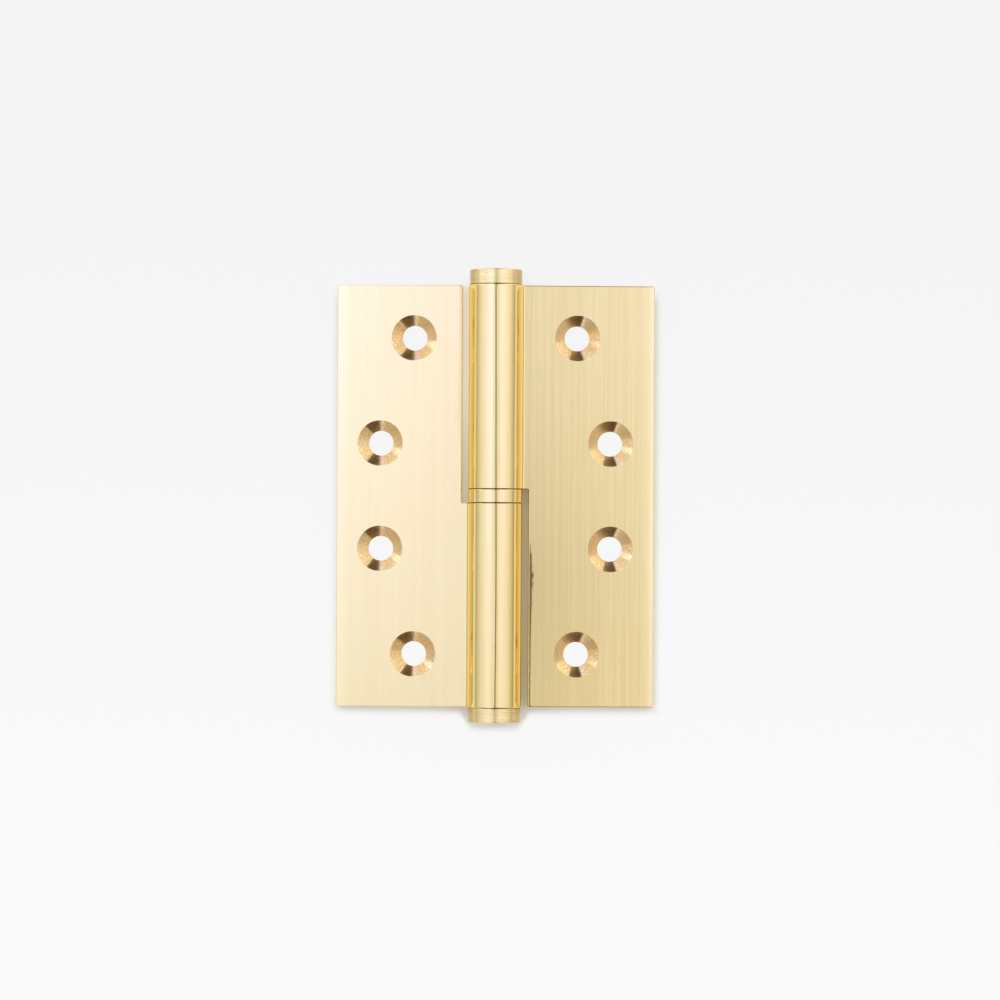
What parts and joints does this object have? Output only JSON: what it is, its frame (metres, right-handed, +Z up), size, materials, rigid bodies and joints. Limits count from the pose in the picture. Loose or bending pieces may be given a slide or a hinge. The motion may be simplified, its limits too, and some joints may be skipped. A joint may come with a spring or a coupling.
{
  "type": "lift-off hinge",
  "caption": "Brass lift-off butt hinge lying open: full-height countersunk leaves, a knuckle on each, a washer between the knuckles and crowned caps on their ends.",
  "frame": {"origin": "on the surface the open hinge lies on, midway between the leaves' edges and the caps' ends", "axes": "+Z up from the surface, +Y along the pin towards the door leaf's knuckle, +X towards the door leaf"},
  "size_m": [0.0766, 0.1096, 0.013],
  "materials": {
    "drawn_brass": "satin, drawn along the pin",
    "polished_brass": "polished",
    "turned_brass": "turned satin",
    "pin_steel": "ground"
  },
  "bodies": {
    "frame": {"frame_leaf": "drawn_brass", "hinge_pin": "pin_steel", "bottom_cap": "turned_brass"},
    "washer": {"thrust_washer": "polished_brass"},
    "door": {"door_leaf": "drawn_brass", "top_cap": "turned_brass"}
  },
  "joints": [
    {"name": "swing", "type": "hinge", "parent": "frame", "child": "washer", "pos_m": [0, 0, 0.0065], "axis": [0, -1, 0], "range_deg": [-118, 187.5]},
    {"name": "lift_off", "type": "slide", "parent": "washer", "child": "door", "axis": [0, 1, 0], "range_m": [0, 0.04]}
  ]
}
